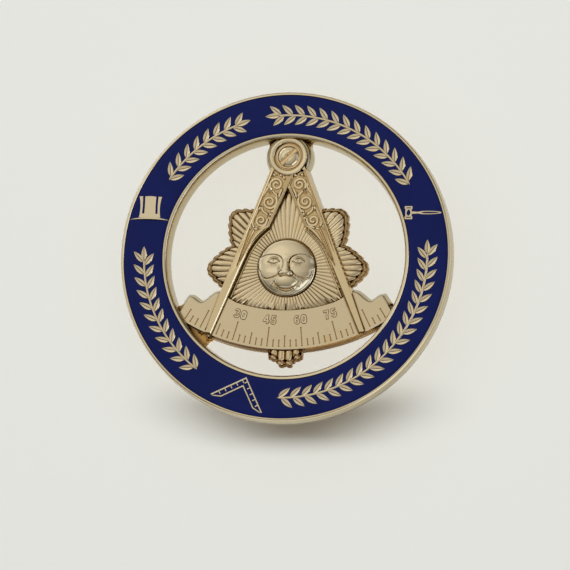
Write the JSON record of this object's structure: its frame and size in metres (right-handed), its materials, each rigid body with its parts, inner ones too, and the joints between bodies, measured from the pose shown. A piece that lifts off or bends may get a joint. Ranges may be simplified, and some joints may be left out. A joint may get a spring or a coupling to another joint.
{
  "type": "round enamelled lapel pin",
  "caption": "Gilt ring with a blue enamel band and raised figures, open round a sun, quadrant and compasses, on a post and clutch.",
  "frame": {"origin": "under the centre of the ring, on the surface that the clutch rests on", "axes": "+Z out of the pin's face, +Y towards the top of the emblem (the hinge of the compasses), +X to the right as seen from the front"},
  "size_m": [0.0254, 0.0254, 0.0067],
  "materials": {
    "gilt_metal": "pale champagne gilt casting, polished, darker in the grooves",
    "blue_enamel": "glossy deep navy enamel, nearly flush with the gilt edges",
    "plated_back": "plain gilt plating, satin"
  },
  "bodies": {
    "root": {"ring_frame": "gilt_metal", "enamel_band": "blue_enamel", "sunburst": "gilt_metal", "quadrant": "gilt_metal", "compasses": "gilt_metal", "pivot_screw": "gilt_metal", "sun_face": "gilt_metal", "pin_post": "plated_back"}
  },
  "joints": []
}
